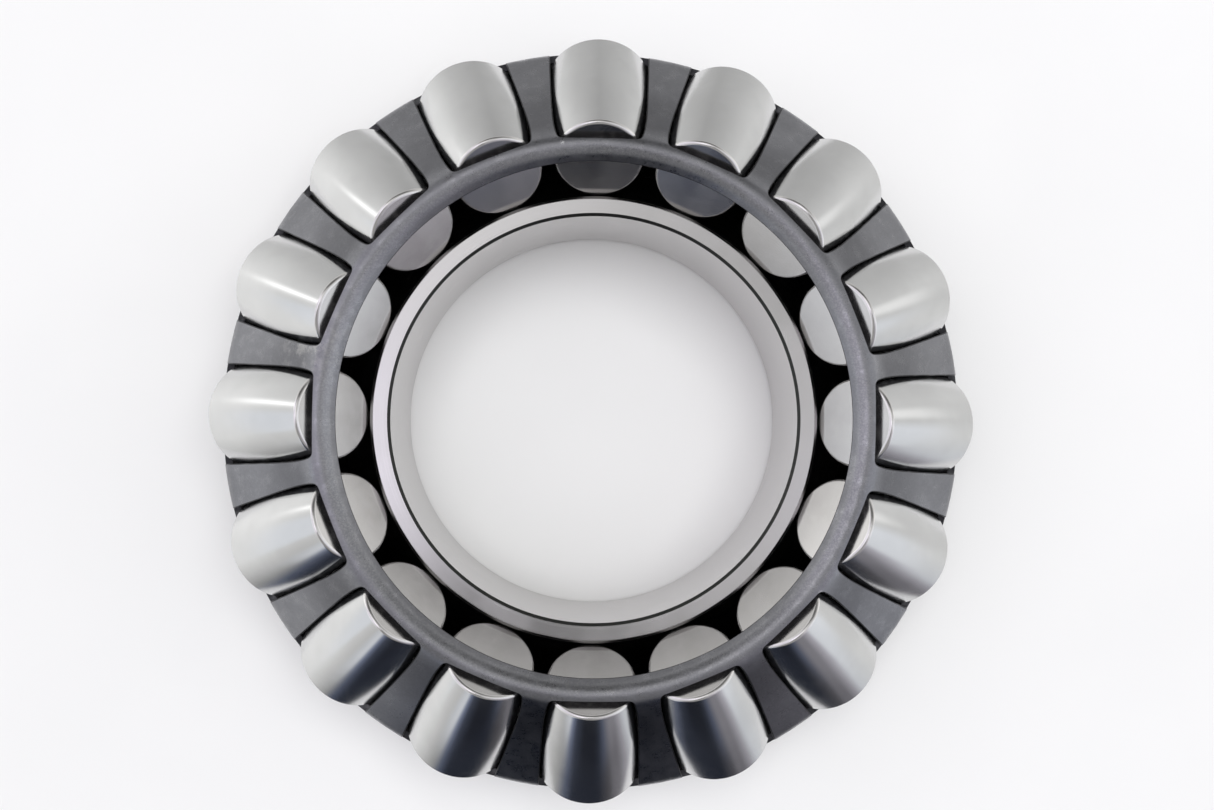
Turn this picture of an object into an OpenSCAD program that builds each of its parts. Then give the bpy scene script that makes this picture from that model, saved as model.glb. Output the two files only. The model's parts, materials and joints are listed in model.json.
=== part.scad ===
// Spherical roller thrust bearing: the shaft washer with its cage and rollers, as supplied without
// the housing washer. Millimetres, +Z up. The shaft washer's large face lies on z = 0, its bore is on
// the Z axis, and the origin is where they meet.
//
// A roller's own directions, used throughout: "along" runs down its axis from the small end to the
// large end, and "out" is square to the axis, away from the shaft washer's raceway.

/* [Rollers] */
// Number of rollers
roller_count = 16; // [12:1:17]
// Length of a roller along its axis
roller_l = 41; // [40.4:0.1:41.4]
// Diameter of a roller at its widest, near the large end
roller_d = 32.6; // [32:0.1:32.8]
// Radius of the arc that shapes the barrel
barrel_r = 162.5; // [158:0.5:166]
// Distance of the widest point from the small end
barrel_apex = 33; // [32:0.5:36]
// Radius of the sphere that shapes the large end
end_ball_r = 130; // [110:5:200]
// Radius of the rounded edge at the small end
small_edge_r = 1.2; // [0.6:0.1:1.5]
// Radius of the rounded edge at the large end
large_edge_r = 1.2; // [0.8:0.1:1.6]
// Angle between a roller's axis and the vertical
roller_tilt = 47.25; // [46.75:0.25:47.75]
// Distance of a roller's small end from the bearing's axis, on the roller's axis
small_end_r = 75; // [74.5:0.1:75.5]
// Height of a roller's small end above the large face, on the roller's axis
small_end_z = 57.6; // [57.2:0.1:58]

/* [Shaft washer] */
// Diameter of the bore
bore_d = 120; // [110:1:122]
// Outer diameter, at the flange
washer_d = 216; // [214:0.5:217]
// Height from the large face to the small face
washer_h = 50.5; // [50.2:0.1:50.8]
// Outer diameter of the small face
small_face_d = 130.1; // [129.8:0.1:130.4]
// Chamfer of the bore at the small face
bore_chamfer = 0.8; // [0.4:0.1:1.5]
// Radius of the corners at the large face
seat_corner_r = 4; // [2:0.5:5]
// Height of the flange against a roller's large end, from the raceway
flange_h = 7; // [5:0.5:8]
// Height of the flange's outer cylinder above the large face
flange_rim_z = 12; // [8:0.5:13]
// Gap between a roller and the raceway
running_gap = 0.1; // [0.1:0.05:0.2]

/* [Cage] */
// Thickness of the pressed sheet
sheet_t = 2.5; // [2:0.1:2.8]
// Height of the cage's cone above the roller axes
cone_out = 9.4; // [9.2:0.1:9.8]
// Outer radius of the bend at the crest
crest_r = 5.2; // [4.4:0.1:5.6]
// Distance of the lip's outer side from the rollers' small ends
lip_reach = 4.4; // [4.2:0.1:4.8]
// Height of the lip's free edge above the roller axes
lip_out = 2.5; // [2:0.1:3]
// Outer radius of the bend between the cone and the skirt
skirt_bend_r = 6; // [4:0.5:8]
// Outer diameter of the skirt
skirt_d = 226.8; // [226:0.2:227.6]
// Height of the skirt's free edge above the large face
skirt_z = 14; // [12:1:20]
// Half the width of a window, level with the rollers' small ends
window_half_w = 12.2; // [12:0.1:12.5]
// How much wider the bars are there than their straight part would be
window_pinch = 1.1; // [0.8:0.1:1.3]
// Distance over which most of that extra width is lost
window_pinch_run = 5; // [4:0.5:6]
// Gain in the half width for each millimetre along the straight part
window_flare = 0.045; // [0.04:0.001:0.05]
// Radius of a window's corners at the crest
window_corner_r = 1.6; // [1:0.1:2]
// Height of a window's lower edge above the large face
window_floor_z = 32.8; // [30:0.2:33]
// Gap between a roller and its window
window_gap = 0.25; // [0.2:0.05:0.3]

/* [Hidden] */
$fn = 180;
pitch = 360 / roller_count;
roller_r = roller_d / 2;
bore_r = bore_d / 2;
washer_r = washer_d / 2;
small_face_r = small_face_d / 2;
skirt_r = skirt_d / 2;
barrel_centre = [roller_r - barrel_r, barrel_apex];
end_ball_centre = [0, roller_l - end_ball_r];

// The rib that keeps the rollers from sliding off the raceway's top, and the grooves at its two ends
rib_gap = 0.6;
rib_top = 12.6;
rib_groove_r = 0.8;
flange_gap = 0.15;
flange_groove_r = 1.2;
flange_land = 1.5;

// The cage's window starts in the bend of the crest, just short of the rollers' small ends
window_start = -1.5;
// Where the bars' straight part begins, and the length of the steps in which they widen before it
window_straight = 15;
window_step = 3;

// Larger than the cross section in every direction, for the shapes that cut it
reach = 60;
// How far a rounded corner's arc overruns the straight edges beside it, so that it crosses them
blend_slack = 0.0005;

washer_colour = [0.74, 0.74, 0.72];
roller_colour = [0.80, 0.80, 0.79];
cage_colour = [0.29, 0.30, 0.31];

function roller_name(i) = str(i < 10 ? "roller_0" : "roller_", i);

// Radius and height of the point that lies this far along and out from a roller's small end
function section(along, out) = [
  small_end_r + along * sin(roller_tilt) + out * cos(roller_tilt),
  small_end_z - along * cos(roller_tilt) + out * sin(roller_tilt)
];

// Radius of a roller this far from its small end
function barrel_at(along) =
  barrel_centre.x + sqrt(barrel_r * barrel_r - (along - barrel_apex) * (along - barrel_apex));

// Where the circles round a and b cross, on the right going from a to b
function crossing(a, a_r, b, b_r) =
  let (gap = norm(b - a))
  let (way = (b - a) / gap)
  let (near = (gap * gap + a_r * a_r - b_r * b_r) / (2 * gap))
  a + near * way + sqrt(a_r * a_r - near * near) * [way.y, -way.x];

function unit(way) = way / norm(way);

// Half the width of a window this far from the rollers' small ends
function window_half(along) =
  window_half_w + window_pinch + window_flare * along - window_pinch * exp(-along / window_pinch_run);

// The direction square to a roller's axis, away from the raceway
way_out = section(0, 1) - section(0, 0);

// The point at radius x on the line that runs along the rollers at a height out from their axes
function on_cone(x, out) = section((x - section(0, out).x) / sin(roller_tilt), out);

// The bearing's own frame, turned and tilted to a roller's: +Z runs along the roller, +X points in
module at_roller(i) {
  rotate([0, 0, (i - 1) * pitch])
    translate([small_end_r, 0, small_end_z])
      rotate([0, 180 - roller_tilt, 0])
        children();
}

// A cross section whose corner, between two directions from a point, is rounded about that point
module rounded(centre, r, way_a, way_b) {
  difference() {
    children();
    difference() {
      polygon([centre, centre + reach * way_a, centre + reach * (way_a + way_b), centre + reach * way_b]);
      translate(centre) circle(r = r + blend_slack);
    }
  }
}

// Half of a roller's cross section with sharp edges, made larger all round by a gap
module roller_half(gap = 0) {
  intersection() {
    translate(barrel_centre) circle(r = barrel_r + gap);
    translate(end_ball_centre) circle(r = end_ball_r + gap);
    translate([0, -gap]) square([2 * roller_r, roller_l + 2 * gap]);
  }
}

module roller(i) {
  small_edge_x = barrel_centre.x
    + sqrt(pow(barrel_r - small_edge_r, 2) - pow(barrel_apex - small_edge_r, 2));
  small_edge = [small_edge_x, small_edge_r];
  large_edge = crossing(
    end_ball_centre, end_ball_r - large_edge_r, barrel_centre, barrel_r - large_edge_r
  );
  color(roller_colour)
    at_roller(i)
      rotate_extrude()
        rounded(small_edge, small_edge_r, [0, -1], unit(small_edge - barrel_centre))
          rounded(large_edge, large_edge_r, unit(large_edge - barrel_centre),
              unit(large_edge - end_ball_centre))
            roller_half();
}

// The hollow over the raceway, between the rib and the flange, with its two grooves
module raceway_hollow() {
  rib_along = -rib_gap;
  flange_along = roller_l + flange_gap;
  intersection() {
    translate(section(barrel_apex, barrel_r - roller_r)) circle(r = barrel_r + running_gap);
    polygon([
      section(rib_along, -reach),
      section(flange_along, -reach),
      section(flange_along, reach),
      section(rib_along, reach)
    ]);
  }
  translate(section(rib_along + rib_groove_r / 2, -barrel_at(rib_along))) circle(r = rib_groove_r);
  translate(section(flange_along - flange_groove_r / 2, -barrel_at(flange_along)))
    circle(r = flange_groove_r);
}

module shaft_washer() {
  flange_top = section(roller_l + flange_gap, flange_h - barrel_at(roller_l));
  inner_corner = [bore_r + seat_corner_r, seat_corner_r];
  outer_corner = [washer_r - seat_corner_r, seat_corner_r];
  color(washer_colour)
    rotate_extrude()
      difference() {
        rounded(inner_corner, seat_corner_r, [-1, 0], [0, -1])
          rounded(outer_corner, seat_corner_r, [1, 0], [0, -1])
            polygon([
              [bore_r, 0],
              [bore_r, washer_h - bore_chamfer],
              [bore_r + bore_chamfer, washer_h],
              [small_face_r, washer_h],
              section(rib_groove_r, -rib_top),
              flange_top - [flange_land, 0],
              flange_top + [flange_land, 0],
              [washer_r, flange_rim_z],
              [washer_r, 0]
            ]);
        raceway_hollow();
      }
}

// The cross section of all that lies under the sheet's outer side, or under a surface at some depth
// inside it. It is cut off level with the sheet's free edges, or some way past them.
module under_sheet(depth, past) {
  crest_centre = section(crest_r - lip_reach, cone_out - crest_r);
  bend_x = skirt_r - skirt_bend_r;
  bend_centre = on_cone(bend_x, cone_out - skirt_bend_r);
  inset = depth + 2 * sheet_t + past;
  rounded(crest_centre, crest_r - depth, section(0, 0) - section(1, 0), way_out)
    rounded(bend_centre, skirt_bend_r - depth, way_out, [1, 0])
      polygon([
        section(depth - lip_reach, lip_out - past),
        section(depth - lip_reach, cone_out - depth),
        on_cone(skirt_r - depth, cone_out - depth),
        [skirt_r - depth, skirt_z - past],
        [skirt_r - inset, skirt_z - past],
        section(inset - lip_reach, lip_out - past)
      ]);
}

// A window's outline, with its length along X and its width across Y
module window_outline() {
  start_half_w = window_half(window_start);
  start_slope = (start_half_w - window_half(0)) / window_start;
  corner = [
    window_start + window_corner_r,
    start_half_w + (start_slope - norm([1, start_slope])) * window_corner_r
  ];
  side = [for (along = [0 : window_step : window_straight]) [along, window_half(along)]];
  for (turned = [0, 1])
    mirror([0, turned])
      rounded(corner, window_corner_r, [-1, 0], unit([-start_slope, 1]))
        polygon(concat(
          [[window_start, 0], [window_start, start_half_w]],
          side,
          [[reach, window_half(reach)], [reach, 0]]
        ));
}

// A straight-sided window for one roller, ending level above the skirt
module window(i) {
  intersection() {
    at_roller(i)
      rotate([0, -90, 0])
        linear_extrude(height = reach)
          window_outline();
    translate([0, 0, window_floor_z]) cylinder(r = 2 * washer_r, h = washer_h);
  }
}

// The hollow that a roller's own curve makes in the bars beside its window
module roller_space(i) {
  at_roller(i)
    rotate_extrude()
      roller_half(window_gap);
}

module cage() {
  color(cage_colour)
    difference() {
      rotate_extrude()
        difference() {
          under_sheet(0, 0);
          under_sheet(sheet_t, sheet_t);
        }
      for (i = [1 : roller_count])
        window(i);
      for (i = [1 : roller_count])
        roller_space(i);
    }
}

shaft_washer();
cage();
for (i = [1 : roller_count]) roller(i);
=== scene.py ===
"""Looks of the spherical roller thrust bearing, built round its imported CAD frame."""
import json
import math

import bpy
import numpy as np
from mathutils import Euler, Matrix, Vector

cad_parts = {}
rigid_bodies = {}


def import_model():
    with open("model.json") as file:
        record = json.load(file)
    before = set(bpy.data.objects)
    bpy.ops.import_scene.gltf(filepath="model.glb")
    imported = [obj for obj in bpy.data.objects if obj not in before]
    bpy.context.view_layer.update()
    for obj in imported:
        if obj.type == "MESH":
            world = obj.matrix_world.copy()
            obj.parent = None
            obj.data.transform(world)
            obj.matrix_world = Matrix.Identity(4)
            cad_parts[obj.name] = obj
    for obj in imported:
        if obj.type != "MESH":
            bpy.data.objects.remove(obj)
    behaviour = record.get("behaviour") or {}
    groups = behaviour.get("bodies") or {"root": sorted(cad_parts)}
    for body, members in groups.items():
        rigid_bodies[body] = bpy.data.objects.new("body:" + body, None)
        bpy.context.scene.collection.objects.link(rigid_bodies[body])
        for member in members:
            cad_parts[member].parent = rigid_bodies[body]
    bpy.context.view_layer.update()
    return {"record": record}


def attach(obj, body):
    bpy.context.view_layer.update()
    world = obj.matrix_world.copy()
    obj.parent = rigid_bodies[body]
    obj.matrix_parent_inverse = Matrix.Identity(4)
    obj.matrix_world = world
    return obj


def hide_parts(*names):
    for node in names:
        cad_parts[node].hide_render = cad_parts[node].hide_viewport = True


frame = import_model()
record = frame["record"]

# ---------------------------------------------------------------- dimensions, in millimetres
MM = 0.001

# Rollers. "Along" runs down a roller's axis from its small end, and "out" is square to the axis,
# away from the shaft washer's raceway.
ROLLER_COUNT = len(record["behaviour"]["joints"]) - 1
PITCH = 2 * math.pi / ROLLER_COUNT
ROLLER_L = 41
ROLLER_R = 16.3
BARREL_R = 162.5
BARREL_APEX = 33
END_BALL_R = 130
SMALL_EDGE_R = 1.2
LARGE_EDGE_R = 1.2
TILT = math.radians(47.25)
SMALL_END_R = 75
SMALL_END_Z = 57.6

# Shaft washer
BORE_R = 60
WASHER_R = 108
WASHER_H = 50.5
SMALL_FACE_R = 65.05
BORE_CHAMFER = 0.8
SEAT_CORNER_R = 4
FLANGE_H = 7
FLANGE_RIM_Z = 12
FLANGE_LAND = 1.5
FLANGE_GAP = 0.15
RIB_GAP = 0.85
RIB_TOP = 12.28
RUNNING_GAP = 0.1
# Radii of the washer's smaller rounded edges
FLANGE_RIM_FILLET = 0.8
FLANGE_LAND_FILLET = 0.5
FLANGE_TOP_FILLET = 0.4
FLANGE_FOOT_FILLET = 0.6
RIB_FOOT_FILLET = 0.4
FACE_FILLET = 0.3
CRISP_FILLET = 0.12

# Cage
SHEET_T = 2.5
SHEET_EDGE_R = 0.35
CONE_OUT = 9.4
CREST_R = 5.2
LIP_REACH = 4.4
LIP_OUT = 2.5
SKIRT_BEND_R = 6
SKIRT_R = 113.4
SKIRT_Z = 14
WINDOW_START = -1.5
WINDOW_HALF_W = 12.2
WINDOW_PINCH = 1.1
WINDOW_PINCH_RUN = 5
WINDOW_FLARE = 0.045
WINDOW_CORNER_R = 1.6
WINDOW_FLOOR_Z = 32.8
WINDOW_GAP = 0.25

# Steps that the curves are cut into
WASHER_SEGMENTS = 384
WASHER_FILLET_STEPS = 6
RACEWAY_STEPS = 40
ROLLER_SEGMENTS = 160
ROLLER_FILLET_STEPS = 8
BARREL_STEPS = 28
LARGE_END_STEPS = 8
BEND_STEPS = 48
LOOKUP_STEPS = 1500

SIN, COS = math.sin(TILT), math.cos(TILT)


def section(along, out):
    """Radius and height of a point given by its distances along and out from a roller's small end."""
    return np.array([SMALL_END_R + along * SIN + out * COS, SMALL_END_Z - along * COS + out * SIN])


def barrel_at(along):
    """Radius of a roller at a distance from its small end."""
    return ROLLER_R - BARREL_R + np.sqrt(BARREL_R**2 - (along - BARREL_APEX) ** 2)


def window_half(along):
    """Half the width of a window at a distance from the rollers' small ends."""
    straight = WINDOW_HALF_W + WINDOW_PINCH + WINDOW_FLARE * along
    return straight - WINDOW_PINCH * np.exp(-along / WINDOW_PINCH_RUN)


# ---------------------------------------------------------------- outlines and turned pieces
def rounded(corners, steps, closed=True):
    """Points and normals of an outline whose corners (x, y, fillet radius) are rounded.

    A corner with no fillet keeps one point, and its normal is shared by both sides.
    The outline runs anticlockwise, so that the normals point outwards.
    """
    places, normals = [], []
    total = len(corners)
    for i, (x, y, fillet) in enumerate(corners):
        here = np.array([x, y], float)
        if not closed and i in (0, total - 1):
            other = np.array(corners[1 if i == 0 else total - 2][:2], float)
            way = other - here if i == 0 else here - other
            way /= np.linalg.norm(way)
            places.append(here)
            normals.append(np.array([way[1], -way[0]]))
            continue
        back = here - np.array(corners[i - 1][:2], float)
        on = np.array(corners[(i + 1) % total][:2], float) - here
        back /= np.linalg.norm(back)
        on /= np.linalg.norm(on)
        before = np.array([back[1], -back[0]])
        after = np.array([on[1], -on[0]])
        if not fillet:
            middle = before + after
            places.append(here)
            normals.append(middle / np.linalg.norm(middle))
            continue
        turn = math.atan2(back[0] * on[1] - back[1] * on[0], back @ on)
        centre = here - back * fillet * math.tan(abs(turn) / 2) - before * fillet * np.sign(turn)
        for k in range(steps + 1):
            a = turn * k / steps
            normal = np.array([before[0] * math.cos(a) - before[1] * math.sin(a),
                               before[0] * math.sin(a) + before[1] * math.cos(a)])
            places.append(centre + normal * fillet * np.sign(turn))
            normals.append(normal)
    return np.array(places), np.array(normals)


def mesh_object(name, verts, faces, normals, materials, indices):
    """A smooth mesh object, from points in millimetres, with its own exact normals."""
    mesh = bpy.data.meshes.new(name)
    mesh.from_pydata((np.asarray(verts) * MM).tolist(), [], faces)
    mesh.shade_smooth()
    for material in materials:
        mesh.materials.append(material)
    mesh.polygons.foreach_set("material_index", indices)
    mesh.normals_split_custom_set_from_vertices(np.asarray(normals).tolist())
    obj = bpy.data.objects.new(name, mesh)
    bpy.context.scene.collection.objects.link(obj)
    return obj


def lathe(name, outline, segments, materials, pick, closed=True):
    """An outline turned about Z. An open outline starts and ends on the axis.

    pick says which material covers the band between two neighbouring points of the outline.
    """
    places, normals = outline
    turns = np.arange(segments) * 2 * math.pi / segments
    ways = np.stack([np.cos(turns), np.sin(turns)], 1)
    rows, verts, outs = [], [], []
    for (x, y), (nx, ny) in zip(places, normals):
        if math.isclose(x, 0, abs_tol=1e-6):
            rows.append([len(verts)] * segments)
            verts.append((0, 0, y))
            outs.append((0, 0, np.sign(ny)))
            continue
        rows.append(list(range(len(verts), len(verts) + segments)))
        verts += [(x * c, x * s, y) for c, s in ways]
        outs += [(nx * c, nx * s, ny) for c, s in ways]
    faces, indices = [], []
    total = len(rows)
    for i in range(total if closed else total - 1):
        low, high = rows[i], rows[(i + 1) % total]
        index = pick(places[i], places[(i + 1) % total])
        for j in range(segments):
            k = (j + 1) % segments
            # A band that meets the axis has triangles: two of its four points are the same
            faces.append(list(dict.fromkeys((low[j], low[k], high[k], high[j]))))
            indices.append(index)
    return mesh_object(name, verts, faces, outs, materials, indices)


# ---------------------------------------------------------------- materials
QUARTER_TURN = 0.25


def with_alpha(value):
    """A socket as it is, and a colour with its alpha."""
    return value if isinstance(value, bpy.types.NodeSocket) else (*value, 1)


class Nodes:
    """Short names for building a node tree. Lengths in it are in metres, and noise is per metre."""

    def __init__(self, tree, place):
        self.tree = tree
        self.place = tree.nodes.new("ShaderNodeTexCoord").outputs[place]

    def put(self, socket, value):
        if isinstance(value, bpy.types.NodeSocket):
            self.tree.links.new(value, socket)
        else:
            socket.default_value = value

    def math(self, kind, a, b=0.0):
        node = self.tree.nodes.new("ShaderNodeMath")
        node.operation = kind
        for socket, value in zip(node.inputs, (a, b)):
            self.put(socket, value)
        return node.outputs[0]

    def add(self, a, b):
        return self.math("ADD", a, b)

    def times(self, a, b):
        return self.math("MULTIPLY", a, b)

    def split(self):
        node = self.tree.nodes.new("ShaderNodeSeparateXYZ")
        self.put(node.inputs[0], self.place)
        return node.outputs

    def join(self, x, y, z):
        node = self.tree.nodes.new("ShaderNodeCombineXYZ")
        for socket, value in zip(node.inputs, (x, y, z)):
            self.put(socket, value)
        return node.outputs[0]

    def noise(self, scale, detail, rough, where=None):
        node = self.tree.nodes.new("ShaderNodeTexNoise")
        self.put(node.inputs["Vector"], where or self.place)
        node.inputs["Scale"].default_value = scale
        node.inputs["Detail"].default_value = detail
        node.inputs["Roughness"].default_value = rough
        return node.outputs["Fac"]

    def ramp(self, value, low, high, out_low=0.0, out_high=1.0):
        """A smooth change from out_low to out_high while a value goes from low to high."""
        node = self.tree.nodes.new("ShaderNodeMapRange")
        node.interpolation_type = "SMOOTHSTEP"
        for socket, v in zip(node.inputs, (value, low, high, out_low, out_high)):
            self.put(socket, v)
        return node.outputs[0]

    def mix(self, factor, a, b):
        """A colour between a, at a factor of 0, and b, at 1."""
        node = self.tree.nodes.new("ShaderNodeMix")
        node.data_type = "RGBA"
        colours = [socket for socket in node.inputs if socket.type == "RGBA"]
        self.put(node.inputs["Factor"], factor)
        self.put(colours[0], with_alpha(a))
        self.put(colours[1], with_alpha(b))
        return next(socket for socket in node.outputs if socket.type == "RGBA")

    def tones(self, value, dark, pale, low=0.3, high=0.7):
        """A colour that goes from dark to pale while a value goes from low to high."""
        return self.mix(self.ramp(value, low, high), dark, pale)

    def across(self, x, y):
        """Length of a vector with these two components."""
        return self.math("SQRT", self.add(self.times(x, x), self.times(y, y)))

    def near(self, x, y, reach):
        """1 at a place on the object, fading to 0 at this distance from it. All are in millimetres."""
        here = self.split()
        dx = self.math("SUBTRACT", here[0], x * MM)
        dy = self.math("SUBTRACT", here[1], y * MM)
        return self.ramp(self.across(dx, dy), 0.0, reach * MM, 1.0, 0.0)

    def radius(self):
        """Distance from the Z axis."""
        x, y, _ = self.split()
        return self.across(x, y)


class Surface(Nodes):
    """A material on the Principled shader, placed by the object's own coordinates."""

    def __init__(self, name, metallic=1.0):
        self.material = bpy.data.materials.new(name)
        self.material.use_nodes = True
        super().__init__(self.material.node_tree, "Object")
        self.bsdf = self.tree.nodes["Principled BSDF"]
        self.bsdf.inputs["Metallic"].default_value = metallic

    def color(self, value):
        self.put(self.bsdf.inputs["Base Color"], with_alpha(value))

    def roughness(self, value):
        self.put(self.bsdf.inputs["Roughness"], value)

    def bump(self, height, strength, distance):
        node = self.tree.nodes.new("ShaderNodeBump")
        node.inputs["Strength"].default_value = strength
        node.inputs["Distance"].default_value = distance
        self.put(node.inputs["Height"], height)
        self.put(self.bsdf.inputs["Normal"], node.outputs[0])

    def stretch(self, amount):
        """Spread reflections across the grinding marks, which run round the Z axis."""
        node = self.tree.nodes.new("ShaderNodeTangent")
        node.direction_type = "RADIAL"
        node.axis = "Z"
        self.put(self.bsdf.inputs["Tangent"], node.outputs[0])
        self.bsdf.inputs["Anisotropic"].default_value = amount
        self.bsdf.inputs["Anisotropic Rotation"].default_value = QUARTER_TURN

    def ring_marks(self, scale):
        """Fine marks left by grinding, which run round the Z axis."""
        return self.noise(scale, 4.0, 0.65, self.join(self.radius(), 0.0, self.split()[2]))

    def band_marks(self, scale):
        """Fine marks that run round the Z axis and change only along it."""
        return self.noise(scale, 4.0, 0.65, self.join(0.0, 0.0, self.split()[2]))


def washer_steel():
    """Ground steel of the washer's small face, bore, flange and large face."""
    n = Surface("washer_ground_steel")
    marks = n.ring_marks(2600)
    clouds = n.noise(45, 3.0, 0.55)
    n.color(n.tones(clouds, (0.58, 0.568, 0.565), (0.64, 0.626, 0.624)))
    n.roughness(n.add(n.ramp(marks, 0.3, 0.7, 0.0, 0.05), n.ramp(clouds, 0.35, 0.65, 0.18, 0.24)))
    n.bump(marks, 0.08, 0.00002)
    n.stretch(0.4)
    return n.material


def nearly_black_chamfer_steel():
    """The chamfer round the bore, coloured nearly black."""
    n = Surface("washer_dark_edge")
    marks = n.ring_marks(1500)
    n.color(n.tones(marks, (0.035, 0.038, 0.036), (0.09, 0.09, 0.085), 0.35, 0.7))
    n.roughness(n.ramp(marks, 0.3, 0.7, 0.36, 0.5))
    return n.material


def raceway_steel():
    """The raceway, painted nearly black: painted shade in the hollow under the rollers and cage."""
    n = Surface("washer_raceway_painted_shade")
    marks = n.ring_marks(2200)
    clouds = n.noise(80, 3.0, 0.55)
    n.color(n.tones(clouds, (0.045, 0.045, 0.043), (0.075, 0.074, 0.07)))
    n.roughness(n.ramp(marks, 0.3, 0.7, 0.26, 0.36))
    return n.material


def rib_steel():
    """The bevel of the rib between the small face and the rollers' small ends."""
    n = Surface("washer_rib_steel")
    marks = n.ring_marks(2200)
    n.color(n.tones(marks, (0.37, 0.36, 0.355), (0.43, 0.42, 0.415)))
    n.roughness(n.ramp(marks, 0.3, 0.7, 0.26, 0.34))
    return n.material


def barrel_steel():
    """The rollers' ground barrels, with fine marks round them."""
    n = Surface("roller_barrel_steel")
    marks = n.band_marks(2400)
    clouds = n.noise(60, 3.0, 0.55)
    n.color(n.tones(clouds, (0.63, 0.63, 0.625), (0.68, 0.68, 0.675)))
    n.roughness(n.add(n.ramp(marks, 0.3, 0.7, 0.0, 0.04), n.ramp(clouds, 0.3, 0.7, 0.14, 0.18)))
    n.bump(marks, 0.1, 0.00001)
    n.stretch(0.6)
    return n.material


def rim_steel():
    """The rounded edge of a roller's small end, coloured brighter than the ends as a painted highlight.
    """
    n = Surface("roller_rim_steel")
    clouds = n.noise(300, 3.0, 0.6)
    n.color(n.tones(clouds, (0.70, 0.685, 0.67), (0.80, 0.785, 0.77)))
    n.roughness(n.ramp(clouds, 0.3, 0.7, 0.17, 0.25))
    return n.material


def end_steel():
    """The satin end faces of the rollers."""
    n = Surface("roller_end_steel")
    marks = n.ring_marks(1800)
    clouds = n.noise(110, 2.0, 0.5)
    n.color(n.tones(clouds, (0.60, 0.585, 0.57), (0.68, 0.665, 0.65)))
    n.roughness(n.add(n.ramp(marks, 0.3, 0.7, 0.0, 0.02), n.ramp(clouds, 0.3, 0.7, 0.2, 0.25)))
    return n.material


# Where the cage has painted shade on the bars beside its crest and a painted highlight along the crest,
# and where it is scuffed and chipped, in millimetres
CREST_TOP_R = 76.5
CREST_HIGHLIGHT_REACH = 3
BEND_SHADE_RADII = (80, 86, 90, 103)
SCUFF = (-80, 22, 16)
CHIPS = ((-10.6, 78.2, 0.9), (64.5, -48.5, 1.1))


def cage_steel():
    """Dark phosphated sheet: fine grain, mottling, painted shade where the bars leave the crest, a
    painted highlight along the crest, a scuffed place and two small chips.
    """
    n = Surface("cage_phosphated_steel")
    clouds = n.noise(38, 4.0, 0.6)
    mottle = n.noise(230, 5.0, 0.7)
    grain = n.noise(1500, 3.0, 0.7)
    tone = n.tones(clouds, (0.225, 0.226, 0.240), (0.285, 0.286, 0.304))
    tone = n.mix(n.ramp(mottle, 0.5, 0.7, 0.0, 0.38), tone, (0.36, 0.36, 0.38))
    tone = n.mix(n.ramp(grain, 0.35, 0.75, 0.0, 0.3), tone, (0.40, 0.40, 0.42))

    # Painted shade: the bars are darker where they leave the crest
    radius = n.radius()
    shade_start, shade_full, shade_fade, shade_end = (r * MM for r in BEND_SHADE_RADII)
    painted_shade = n.times(n.ramp(radius, shade_start, shade_full), n.ramp(radius, shade_fade, shade_end, 0.42, 0.14))
    tone = n.mix(painted_shade, tone, (0.02, 0.02, 0.022))

    # Painted highlight: bright specks and a soft brightening along the top of the crest
    inside, top, outside = ((CREST_TOP_R + d) * MM for d in (-CREST_HIGHLIGHT_REACH, 0, CREST_HIGHLIGHT_REACH))
    ridge = n.times(n.ramp(radius, inside, top), n.ramp(radius, top, outside, 1.0, 0.0))
    ridge_highlight = n.times(ridge, n.ramp(n.noise(1900, 4.0, 0.7), 0.42, 0.7, 0.12, 0.6))
    tone = n.mix(ridge_highlight, tone, (0.52, 0.52, 0.53))

    scuff = n.times(n.near(*SCUFF), n.ramp(n.noise(260, 5.0, 0.7), 0.45, 0.62))
    tone = n.mix(n.times(scuff, 0.55), tone, (0.50, 0.49, 0.48))
    chips = n.math("MAXIMUM", *(n.near(*chip) for chip in CHIPS))
    chips = n.times(chips, n.ramp(n.noise(2600, 2.0, 0.5), 0.42, 0.55))
    n.color(n.mix(chips, tone, (0.85, 0.85, 0.85)))
    n.roughness(n.add(n.ramp(grain, 0.3, 0.7, 0.0, 0.08), n.ramp(mottle, 0.35, 0.65, 0.36, 0.24)))
    n.bump(n.add(grain, mottle), 0.35, 0.00005)
    return n.material


def cut_edge_steel():
    """The cage's cut edges."""
    n = Surface("cage_cut_edge")
    wear = n.noise(220, 4.0, 0.65)
    n.color(n.tones(wear, (0.05, 0.05, 0.054), (0.11, 0.11, 0.115), 0.5, 0.7))
    n.roughness(n.ramp(wear, 0.35, 0.7, 0.45, 0.35))
    return n.material


def inner_sheet_steel():
    """The cage's inner side, painted nearly black as shade under the sheet."""
    n = Surface("cage_inner_side")
    clouds = n.noise(60, 4.0, 0.6)
    n.color(n.tones(clouds, (0.02, 0.02, 0.022), (0.04, 0.04, 0.043)))
    n.roughness(n.ramp(clouds, 0.3, 0.7, 0.42, 0.55))
    return n.material


# A piece's materials, in the order of these numbers
GROUND, CHAMFER, RACEWAY, RIB = range(4)
BARREL, RIM, END = range(3)
OUTER, EDGE, INNER = range(3)
WASHER_MATERIALS = [washer_steel(), nearly_black_chamfer_steel(), raceway_steel(), rib_steel()]
ROLLER_MATERIALS = [barrel_steel(), rim_steel(), end_steel()]
CAGE_MATERIALS = [cage_steel(), cut_edge_steel(), inner_sheet_steel()]


# ---------------------------------------------------------------- shaft washer
# The rib's bevel is above this depth under the small face
RIB_BEVEL_H = 1.5
# Allowance for telling the bands of the outline apart
MARGIN = 0.1


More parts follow.
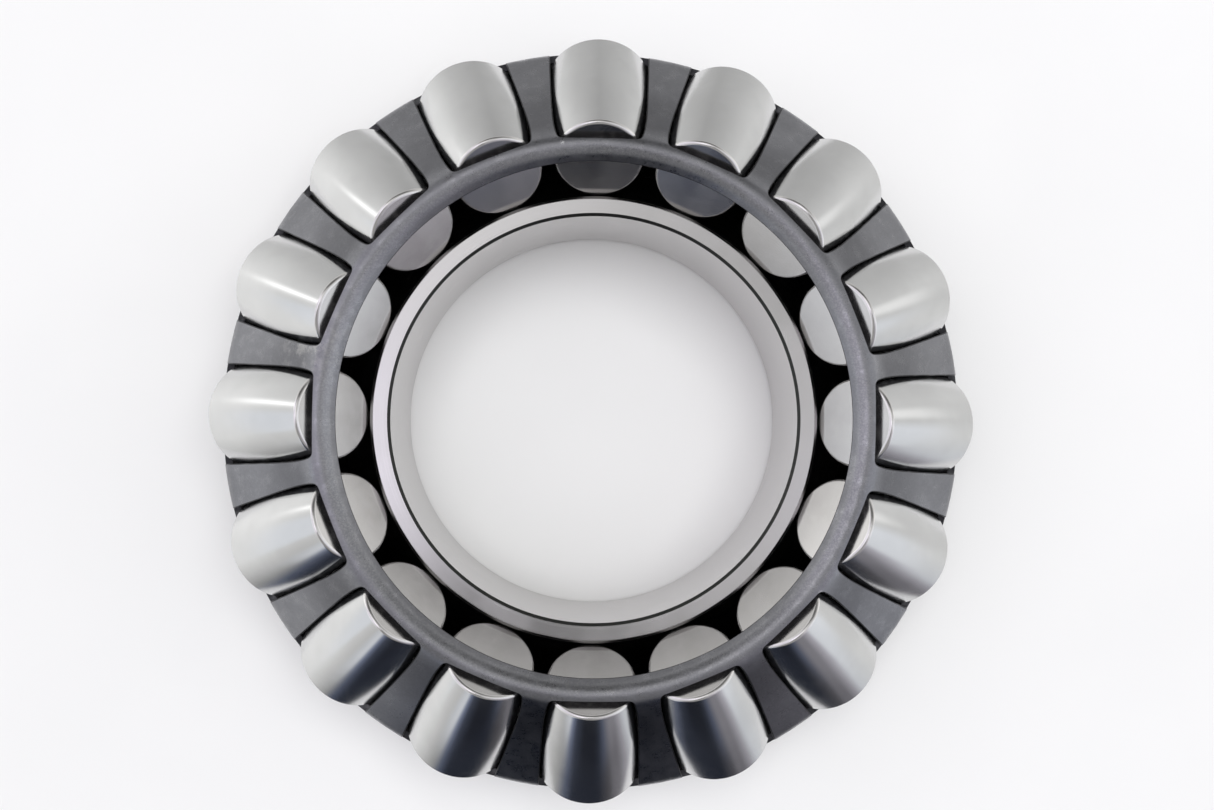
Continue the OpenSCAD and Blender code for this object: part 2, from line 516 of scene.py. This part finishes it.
def make_washer():
    """The washer's outline, anticlockwise: up the outside, in over the raceway, down the bore."""
    rib_foot, flange_foot = -RIB_GAP, ROLLER_L + FLANGE_GAP
    flange_top = section(flange_foot, FLANGE_H - barrel_at(ROLLER_L))
    raceway = [(*section(along, -barrel_at(along) - RUNNING_GAP), 0)
               for along in np.linspace(flange_foot - 1, rib_foot + 1, RACEWAY_STEPS)]
    corners = [
        (BORE_R, 0, SEAT_CORNER_R),
        (WASHER_R, 0, SEAT_CORNER_R),
        (WASHER_R, FLANGE_RIM_Z, FLANGE_RIM_FILLET),
        (flange_top[0] + FLANGE_LAND, flange_top[1], FLANGE_LAND_FILLET),
        (*flange_top, FLANGE_TOP_FILLET),
        (*section(flange_foot, -barrel_at(flange_foot) - RUNNING_GAP), FLANGE_FOOT_FILLET),
        *raceway,
        (*section(rib_foot, -barrel_at(rib_foot) - RUNNING_GAP), RIB_FOOT_FILLET),
        (*section(rib_foot, -RIB_TOP), CRISP_FILLET),
        (SMALL_FACE_R, WASHER_H, FACE_FILLET),
        (BORE_R + BORE_CHAMFER, WASHER_H, CRISP_FILLET),
        (BORE_R, WASHER_H - BORE_CHAMFER, CRISP_FILLET),
    ]

    def pick(a, b):
        low, inside, outside = min(a[1], b[1]), min(a[0], b[0]), max(a[0], b[0])
        beside_bore = outside < BORE_R + BORE_CHAMFER + MARGIN and a[0] != b[0]
        if beside_bore and low > WASHER_H - BORE_CHAMFER - MARGIN:
            return CHAMFER
        if inside < SMALL_FACE_R - MARGIN or low < FLANGE_RIM_Z or low > WASHER_H - MARGIN:
            return GROUND
        return RACEWAY if low < WASHER_H - RIB_BEVEL_H else RIB

    outline = rounded(corners, WASHER_FILLET_STEPS)
    washer = lathe("shaft_washer_body", outline, WASHER_SEGMENTS, WASHER_MATERIALS, pick)
    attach(washer, "shaft_washer")
    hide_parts("shaft_washer")


# ---------------------------------------------------------------- rollers
# How far the small end's bright rounded edge reaches along the roller and in from its side, in edge radii
RIM_LENGTH = 1.05
RIM_WIDTH = 1.3
# Distance from an end's corner to the first point of the barrel or of the end, in edge radii
SMALL_EDGE_RUN = 2
LARGE_EDGE_RUN = 2.5
# Allowances for telling the end faces apart from the barrel
END_MARGIN = 0.01
LARGE_END_MARGIN = 0.2


def make_roller(joint):
    """One roller, turned about its own axis and laid along its joint's axis."""
    edge = barrel_at(0)
    large_end_rise = math.sqrt(END_BALL_R**2 - ROLLER_R**2) - END_BALL_R
    large_end = ROLLER_L + large_end_rise
    large_run = LARGE_EDGE_RUN * LARGE_EDGE_R
    alongs = np.linspace(SMALL_EDGE_RUN * SMALL_EDGE_R, ROLLER_L - large_run, BARREL_STEPS)
    ball_radii = np.linspace(ROLLER_R - large_run, 0, LARGE_END_STEPS)
    ball_centre = ROLLER_L - END_BALL_R
    corners = [
        (0, 0, 0),
        (edge, 0, SMALL_EDGE_R),
        *((barrel_at(along), along, 0) for along in alongs),
        (barrel_at(large_end), large_end, LARGE_EDGE_R),
        *((radius, ball_centre + math.sqrt(END_BALL_R**2 - radius**2), 0) for radius in ball_radii),
    ]

    def pick(a, b):
        radius, along = (a + b) / 2
        if along < SMALL_EDGE_R * RIM_LENGTH and radius > edge - SMALL_EDGE_R * RIM_WIDTH:
            return RIM
        return END if along < END_MARGIN or along > large_end - LARGE_END_MARGIN else BARREL

    name = joint["child"]
    outline = rounded(corners, ROLLER_FILLET_STEPS, closed=False)
    roller = lathe(name + "_body", outline, ROLLER_SEGMENTS, ROLLER_MATERIALS, pick, closed=False)
    axis = Vector(joint["axis"]).normalized()
    side = Vector((0, 0, 1)).cross(axis).normalized()
    turned = Matrix((side.cross(axis), side, axis)).transposed().to_4x4()
    turned.translation = Vector(joint["pos_m"]) - axis * ROLLER_L / 2 * MM
    roller.matrix_world = turned
    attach(roller, name)
    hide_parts(name)


# ---------------------------------------------------------------- cage
# Steps along half a window's edge: its upper end, a corner, a side and its lower end
UPPER_STEPS = 6
CORNER_STEPS = 6
SIDE_STEPS = 26
FLOOR_STEPS = 6
# Rows from a patch's border to its window, and the distance between the plain rows
LAYERS = 6
ROW_STEP = 0.7
# Lengths of sheet kept between a window's ends and the plain rows above and below it
UPPER_MARGIN = 1
LOWER_MARGIN = 1.5
# Turns of the normal over the rounded corner of a cut edge
EDGE_TURNS = np.radians([0, 22.5, 45, 67.5, 90])
# Times that a window's sides are worked out again from the radius they have reached
CLEARING_ROUNDS = 6
# Points that agree to this many decimals of a millimetre are one point
SHARED_DIGITS = 4


class Sheet:
    """The pressed sheet, as places measured along its outer side.

    A place is a length from the skirt's free edge towards the lip's, a turn about Z and a depth.
    """

    def __init__(self):
        bend_along = (SKIRT_R - section(0, CONE_OUT)[0]) / SIN
        corners = [
            (SKIRT_R, SKIRT_Z, 0),
            (*section(bend_along, CONE_OUT), SKIRT_BEND_R),
            (*section(-LIP_REACH, CONE_OUT), CREST_R),
            (*section(-LIP_REACH, LIP_OUT), 0),
        ]
        self.places, self.normals = rounded(corners, BEND_STEPS, closed=False)
        steps = np.linalg.norm(np.diff(self.places, axis=0), axis=1)
        self.lengths = np.concatenate([[0], np.cumsum(steps)])
        self.end = self.lengths[-1]

    def profile(self, length, depth):
        """Radius, height and normal of places on a cross section."""
        x, z = (np.interp(length, self.lengths, self.places[:, k]) for k in (0, 1))
        nx, nz = (np.interp(length, self.lengths, self.normals[:, k]) for k in (0, 1))
        size = np.hypot(nx, nz)
        nx, nz = nx / size, nz / size
        return x - depth * nx, z - depth * nz, nx, nz

    def along_out(self, length, depth, half):
        """Distances along and out, in a roller's own directions, of places beside its middle plane."""
        radius, height, _, _ = self.profile(length, depth)
        x = np.sqrt(radius**2 - half**2) - SMALL_END_R
        z = height - SMALL_END_Z
        return x * SIN - z * COS, x * COS + z * SIN

    def length_at(self, along, depth, half):
        """Length at which a place beside the middle plane lies this far along."""
        lengths = np.linspace(0, self.end, LOOKUP_STEPS)
        alongs, _ = self.along_out(lengths, depth, half)
        return float(np.interp(-along, -alongs, lengths))

    def side_half(self, length, depth):
        """Half the width of a window at a length, where it also clears its roller."""
        half = np.full_like(length, WINDOW_HALF_W)
        for _ in range(CLEARING_ROUNDS):
            along, out = self.along_out(length, depth, half)
            clear = (barrel_at(along) + WINDOW_GAP) ** 2 - out**2
            half = np.maximum(window_half(along), np.sqrt(np.maximum(clear, 0)))
        return half

    def outline(self, depth):
        """Lengths and turns of a window's edge at a depth, round from the middle of its upper end."""
        upper_half = window_half(WINDOW_START)
        slope = (upper_half - window_half(0)) / WINDOW_START
        corner_along = WINDOW_START + WINDOW_CORNER_R
        corner_half = upper_half + (slope - math.hypot(1, slope)) * WINDOW_CORNER_R
        upper = [(WINDOW_START, corner_half * k / UPPER_STEPS) for k in range(UPPER_STEPS)]
        for a in np.linspace(math.pi, math.pi / 2 + math.atan(slope), CORNER_STEPS + 1):
            along = corner_along + WINDOW_CORNER_R * math.cos(a)
            half = corner_half + WINDOW_CORNER_R * math.sin(a)
            upper.append((along, half))
        upper_lengths = np.array([self.length_at(along, depth, half) for along, half in upper])
        upper_halves = np.array([half for _, half in upper])

        lengths = np.linspace(0, self.end / 2, LOOKUP_STEPS)
        floor_length = float(np.interp(WINDOW_FLOOR_Z, self.profile(lengths, depth)[1], lengths))
        share = (1 - np.cos(np.linspace(0, math.pi, SIDE_STEPS + 1)[1:])) / 2
        side_lengths = upper_lengths[-1] + (floor_length - upper_lengths[-1]) * share
        side_halves = self.side_half(side_lengths, depth)

        lengths = np.concatenate([upper_lengths, side_lengths])
        halves = np.concatenate([upper_halves, side_halves])
        turns = np.arcsin(halves / self.profile(lengths, depth)[0])
        floor_turns = turns[-1] * (1 - np.arange(1, FLOOR_STEPS + 1) / FLOOR_STEPS)
        lengths = np.concatenate([lengths, np.full(FLOOR_STEPS, floor_length)])
        turns = np.concatenate([turns, floor_turns])
        return both_sides(lengths, turns)

    def away(self, lengths, turns, depth):
        """Directions away from the window at its edge: towards the lip, and round Z."""
        radius = self.profile(lengths, depth)[0]
        rise = np.roll(lengths, -1) - np.roll(lengths, 1)
        run = (np.roll(turns, -1) - np.roll(turns, 1)) * radius
        size = np.hypot(rise, run)
        return run / size, -rise / size

    def row(self, lengths, turns, depth, side=1, lean=0.0, away=(0, 0)):
        """Points and normals of a row. The normals lean from a side of the sheet towards a cut edge.

        side is 1 for the outer side and -1 for the inner side.
        """
        x, z, nx, nz = self.profile(lengths, depth)
        c, s, zero = np.cos(turns), np.sin(turns), np.zeros_like(turns)
        normal = np.stack([nx * c, nx * s, nz + zero], 1)
        up = np.stack([-nz * c, -nz * s, nx + zero], 1)
        round_z = np.stack([-s, c, zero], 1)
        rise, run = (np.broadcast_to(part, turns.shape)[:, None] for part in away)
        towards = -(rise * up + run * round_z)
        places = np.stack([x * c, x * s, z + zero], 1)
        return places, side * normal * math.cos(lean) + towards * math.sin(lean)


def both_sides(lengths, turns):
    """Half a window's edge, from its upper to its lower middle, and its mirror image back again."""
    return np.concatenate([lengths, lengths[-2:0:-1]]), np.concatenate([turns, -turns[-2:0:-1]])


def edge_bands(edge_row):
    """The bands across a cut edge: a rounded corner, the edge's own wall and the other rounded corner."""
    rows = []
    for turn in EDGE_TURNS:
        depth = SHEET_EDGE_R * (1 - math.cos(turn))
        rows.append(edge_row(depth, SHEET_EDGE_R * (1 - math.sin(turn)), 1, turn))
    rows.append(edge_row(SHEET_T / 2, 0, 1, EDGE_TURNS[-1]))
    for turn in EDGE_TURNS[::-1]:
        depth = SHEET_T - SHEET_EDGE_R * (1 - math.cos(turn))
        rows.append(edge_row(depth, SHEET_EDGE_R * (1 - math.sin(turn)), -1, turn))
    return rows


def window_rows(sheet, border):
    """Closed rows round a window: from its patch's border, over its edge, and back on the inner side."""
    def inset_outline(depth, inset):
        lengths, turns = sheet.outline(depth)
        away = sheet.away(lengths, turns, depth)
        radius = sheet.profile(lengths, depth)[0]
        return lengths + inset * away[0], turns + inset * away[1] / radius, away

    def edge_row(depth, inset, side, lean):
        lengths, turns, away = inset_outline(depth, inset)
        return sheet.row(lengths, turns, depth, side, lean, away)

    def layers(depth, side):
        lengths, turns, _ = inset_outline(depth, SHEET_EDGE_R)
        rows = []
        for share in (k / LAYERS for k in range(LAYERS)):
            row_lengths = border[0] * (1 - share) + lengths * share
            row_turns = border[1] * (1 - share) + turns * share
            rows.append(sheet.row(row_lengths, row_turns, depth, side))
        return rows

    return [(OUTER, layers(0, 1)), (EDGE, edge_bands(edge_row)), (INNER, layers(SHEET_T, -1)[::-1])]


def end_rows(sheet, start, stop, turns):
    """Open rows from the windows' patches to a free edge, over it, and back on the inner side."""
    way = np.sign(stop - start)
    count = math.ceil(abs(stop - start) / ROW_STEP)
    lengths = np.linspace(start, stop - way * SHEET_EDGE_R, count + 1)[:-1]

    def edge_row(depth, inset, side, lean):
        return sheet.row(np.full_like(turns, stop - way * inset), turns, depth, side, lean, (-way, 0))

    outer = [sheet.row(np.full_like(turns, length), turns, 0) for length in lengths]
    inner = [sheet.row(np.full_like(turns, length), turns, SHEET_T, -1) for length in lengths[::-1]]
    return [(OUTER, outer), (EDGE, edge_bands(edge_row)), (INNER, inner)]


def patch_border(sheet):
    """The border of one window's patch, its upper and lower lengths, and the turns along those two.

    The border has as many places as the window's edge.
    """
    lengths, turns = sheet.outline(0)
    corner = UPPER_STEPS + CORNER_STEPS // 2
    floor = UPPER_STEPS + CORNER_STEPS + SIDE_STEPS
    top, bottom = lengths[0] + UPPER_MARGIN, lengths[floor] - LOWER_MARGIN
    share = (lengths[corner : floor + 1] - lengths[corner]) / (lengths[floor] - lengths[corner])
    border_lengths = np.concatenate(
        [np.full(corner, top), top + share * (bottom - top), np.full(FLOOR_STEPS, bottom)]
    )
    upper_turns = np.linspace(0, PITCH / 2, corner + 1)
    lower_turns = np.linspace(PITCH / 2, 0, FLOOR_STEPS + 1)
    border_turns = np.concatenate([upper_turns[:-1], np.full(len(share), PITCH / 2), lower_turns[1:]])
    whole_upper = np.concatenate([-upper_turns[:0:-1], upper_turns])
    whole_lower = np.concatenate([-lower_turns[:-1], lower_turns[::-1]])
    return both_sides(border_lengths, border_turns), top, bottom, whole_upper, whole_lower


def make_cage():
    """The windowed sheet: a patch round each window, and plain rows above and below, at shared points."""
    sheet = Sheet()
    border, top, bottom, upper_turns, lower_turns = patch_border(sheet)
    # Each patch is a pair: whether its rows are closed, and its rows by material
    patches = [
        (True, window_rows(sheet, border)),
        (False, end_rows(sheet, top, sheet.end, upper_turns)),
        (False, end_rows(sheet, bottom, 0.0, lower_turns)),
    ]
    numbers, verts, normals, faces, marks = {}, [], [], [], []

    def number(place, normal):
        """The number of a point, which all the rows that meet there share."""
        # Adding zero makes a negative zero positive
        key = tuple(round(float(v), SHARED_DIGITS) + 0.0 for v in place)
        if key not in numbers:
            numbers[key] = len(verts)
            verts.append(place)
            normals.append(normal)
        return numbers[key]

    for i in range(ROLLER_COUNT):
        c, s = math.cos(i * PITCH), math.sin(i * PITCH)
        turn = np.array([[c, s, 0], [-s, c, 0], [0, 0, 1]])
        for closed, groups in patches:
            rows = [(mark, row) for mark, group in groups for row in group]
            last = None
            for mark, (places, outs) in rows:
                row = [number(p, n) for p, n in zip(places @ turn, outs @ turn)]
                if last:
                    for j in range(len(row) if closed else len(row) - 1):
                        k = (j + 1) % len(row)
                        faces.append([last[1][j], last[1][k], row[k], row[j]])
                        marks.append(min(last[0], mark))
                last = (mark, row)
    verts, normals = np.array(verts), np.array(normals)
    # Faces that look into the sheet are turned round
    quads = verts[np.array(faces)]
    facing = np.cross(quads[:, 2] - quads[:, 0], quads[:, 3] - quads[:, 1])
    backward = np.einsum("ij,ij->i", facing, normals[np.array(faces)].sum(1)) < 0
    faces = [face[::-1] if back else face for face, back in zip(faces, backward)]
    cage = mesh_object("cage_sheet", verts, faces, normals, CAGE_MATERIALS, marks)
    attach(cage, "cage")
    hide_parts("cage")


# ---------------------------------------------------------------- floor, light and camera
# Radii of the floor and of the part of it near the object, and its depth under the object, in metres
FLOOR_R = 6
NEAR_FLOOR_R = 0.165
FLOOR_SEGMENTS = 96
FLOOR_GAP = 0.0001
# Brightness is divided by this in the room's colours and put back by its strength
LIGHT_SCALE = 4
WHITE = (1, 1, 1)
BLUE = (0.96, 0.99, 1.05)
NAVY = (0.75, 0.88, 1.3)
MAUVE = (1.0, 0.97, 1.08)
# The room's light: azimuth, brightness and tint
WALLS = [
    (-180, 1.0, BLUE), (-155, 1.0, BLUE), (-150, 0.82, WHITE), (-137, 0.7, WHITE),
    (-131, 0.78, BLUE), (-124, 0.95, BLUE), (-120, 0.3, NAVY), (-113, 0.07, NAVY),
    (-100, 0.02, NAVY), (-84, 0.02, NAVY), (-77, 0.04, NAVY), (-70, 0.13, NAVY),
    (-60, 0.28, MAUVE), (-51, 0.28, MAUVE), (-40, 0.55, MAUVE), (-34, 0.98, BLUE),
    (-8, 1.05, BLUE), (5, 0.82, WHITE), (12, 1.2, WHITE), (19, 1.2, WHITE),
    (26, 0.84, WHITE), (60, 0.64, WHITE), (90, 0.53, WHITE), (120, 0.7, WHITE),
    (155, 0.94, WHITE), (158, 1.1, WHITE), (162, 2.2, WHITE), (166, 1.1, WHITE),
    (171, 0.92, WHITE), (180, 1.0, BLUE),
]
LOW_WALLS = [
    (-180, 1.08, WHITE), (-154, 1.02, WHITE), (-138, 0.72, WHITE), (-125, 0.38, WHITE),
    (-117, 0.14, NAVY), (-108, 0.035, NAVY), (-78, 0.03, NAVY), (-66, 0.09, MAUVE),
    (-61, 0.19, MAUVE), (-54, 0.19, MAUVE), (-46, 0.4, MAUVE), (-38, 0.78, BLUE),
    (-12, 0.88, WHITE), (6, 0.8, WHITE), (30, 0.86, WHITE), (60, 0.66, WHITE),
    (90, 0.55, WHITE), (120, 0.7, WHITE), (150, 1.05, WHITE), (162, 1.15, WHITE),
    (180, 1.08, WHITE),
]
HIGH_WALLS = [
    (-180, 0.85, MAUVE), (-160, 0.95, MAUVE), (-138, 0.5, WHITE), (-118, 0.34, WHITE),
    (-96, 0.36, WHITE), (-74, 0.38, WHITE), (-52, 0.42, MAUVE), (-30, 0.7, MAUVE),
    (-8, 1.1, BLUE), (22, 0.68, WHITE), (44, 0.4, WHITE), (66, 0.14, WHITE),
    (110, 0.14, WHITE), (132, 0.46, WHITE), (154, 1.2, MAUVE), (172, 0.8, MAUVE),
    (180, 0.85, MAUVE),
]
CEILING = [
    (-180, 1.6, MAUVE), (-150, 1.5, MAUVE), (-134, 0.5, WHITE), (-121, 0.16, WHITE),
    (-75, 0.2, WHITE), (-60, 0.58, WHITE), (-30, 0.75, WHITE), (-15, 0.95, MAUVE),
    (0, 0.8, WHITE), (45, 0.52, WHITE), (75, 0.8, WHITE), (105, 1.1, WHITE),
    (135, 1.2, WHITE), (165, 1.2, MAUVE), (180, 1.6, MAUVE),
]
# Heights of a direction (its Z) over which one ring of light gives way to the next
LOW_CHANGE = (-0.2, 0.05)
HIGH_CHANGE = (0.32, 0.62)
CEILING_CHANGE = (0.84, 0.96)
# What the camera sees past the floor's edge
BACKGROUND = (0.575, 0.573, 0.604)
OVERHEAD_SIZE = 1.1
OVERHEAD_POWER = 13
OVERHEAD_TINT = (0.98, 0.99, 1.0)
OVERHEAD_PLACE = (0.12, 0.2, 1.5)


def pale_floor():
    """The floor, in two parts. Only the part near the object shows in its reflections."""
    n = Surface("floor_white", metallic=0.0)
    n.color(n.tones(n.noise(9, 3.0, 0.5), (0.89, 0.885, 0.872), (0.91, 0.904, 0.89), 0.35, 0.65))
    n.roughness(0.6)
    turns = np.arange(FLOOR_SEGMENTS) * 2 * math.pi / FLOOR_SEGMENTS
    circle = np.stack([np.cos(turns), np.sin(turns), np.zeros(FLOOR_SEGMENTS)], 1)
    disc = [list(range(FLOOR_SEGMENTS))]
    ring = []
    for j in range(FLOOR_SEGMENTS):
        k = (j + 1) % FLOOR_SEGMENTS
        ring.append([j, FLOOR_SEGMENTS + j, FLOOR_SEGMENTS + k, k])
    parts = (("floor_near", circle * NEAR_FLOOR_R, disc),
             ("floor", np.concatenate([circle * NEAR_FLOOR_R, circle * FLOOR_R]), ring))
    for name, verts, faces in parts:
        mesh = bpy.data.meshes.new(name)
        mesh.from_pydata(verts.tolist(), [], faces)
        mesh.materials.append(n.material)
        part = bpy.data.objects.new(name, mesh)
        part.location.z = -FLOOR_GAP
        part.visible_glossy = name == "floor_near"
        bpy.context.scene.collection.objects.link(part)


def by_direction(n, azimuth, lights):
    """Colours that follow each other round the room. Azimuths are in degrees from +X, anticlockwise."""
    ramp = n.tree.nodes.new("ShaderNodeValToRGB")
    n.put(ramp.inputs[0], azimuth)
    stops = ramp.color_ramp.elements
    while len(stops) < len(lights):
        stops.new(1.0)
    for stop, (degrees, brightness, tint) in zip(stops, lights):
        stop.position = degrees / 360 + 0.5
        stop.color = (*(brightness * t / LIGHT_SCALE for t in tint), 1)
    return ramp.outputs[0]


def room():
    """A soft room that is dark at the front. The camera sees a plain background in its place."""
    sky = bpy.data.worlds.new("soft_room")
    bpy.context.scene.world = sky
    sky.use_nodes = True
    n = Nodes(sky.node_tree, "Generated")
    x, y, z = n.split()
    azimuth = n.math("ADD", n.math("DIVIDE", n.math("ARCTAN2", y, x), 2 * math.pi), 0.5)
    light = by_direction(n, azimuth, LOW_WALLS)
    for change, ring in ((LOW_CHANGE, WALLS), (HIGH_CHANGE, HIGH_WALLS), (CEILING_CHANGE, CEILING)):
        light = n.mix(n.ramp(z, *change), light, by_direction(n, azimuth, ring))
    camera_ray = sky.node_tree.nodes.new("ShaderNodeLightPath").outputs["Is Camera Ray"]
    plain = tuple(v / LIGHT_SCALE for v in BACKGROUND)
    background = sky.node_tree.nodes["Background"]
    background.inputs["Strength"].default_value = LIGHT_SCALE
    n.put(background.inputs["Color"], n.mix(camera_ray, light, plain))


def overhead_light():
    """A wide soft light over the object, kept out of reflections."""
    data = bpy.data.lights.new("overhead", "AREA")
    data.size = OVERHEAD_SIZE
    data.energy = OVERHEAD_POWER
    data.color = OVERHEAD_TINT
    light = bpy.data.objects.new("overhead", data)
    light.location = OVERHEAD_PLACE
    light.rotation_euler = Vector(light.location).to_track_quat("Z", "Y").to_euler()
    light.visible_glossy = False
    bpy.context.scene.collection.objects.link(light)


# The camera's place and lens in millimetres, and its turn in degrees
CAMERA_PLACE = (-6.64, -2.60, 414.3)
CAMERA_TURN = (1.043, -1.619, 0.839)
CAMERA_LENS = 36.67
CAMERA_SENSOR = 36


def camera():
    """The camera, straight above the object."""
    data = bpy.data.cameras.new("camera")
    data.lens = CAMERA_LENS
    data.sensor_width = CAMERA_SENSOR
    eye = bpy.data.objects.new("camera", data)
    eye.location = Vector(CAMERA_PLACE) * MM
    eye.rotation_euler = Euler([math.radians(a) for a in CAMERA_TURN])
    bpy.context.scene.collection.objects.link(eye)
    bpy.context.scene.camera = eye


make_washer()
for joint in record["behaviour"]["joints"]:
    if joint["parent"] == "cage":
        make_roller(joint)
make_cage()
pale_floor()
room()
overhead_light()
camera()
bpy.context.scene.view_settings.view_transform = "Standard"
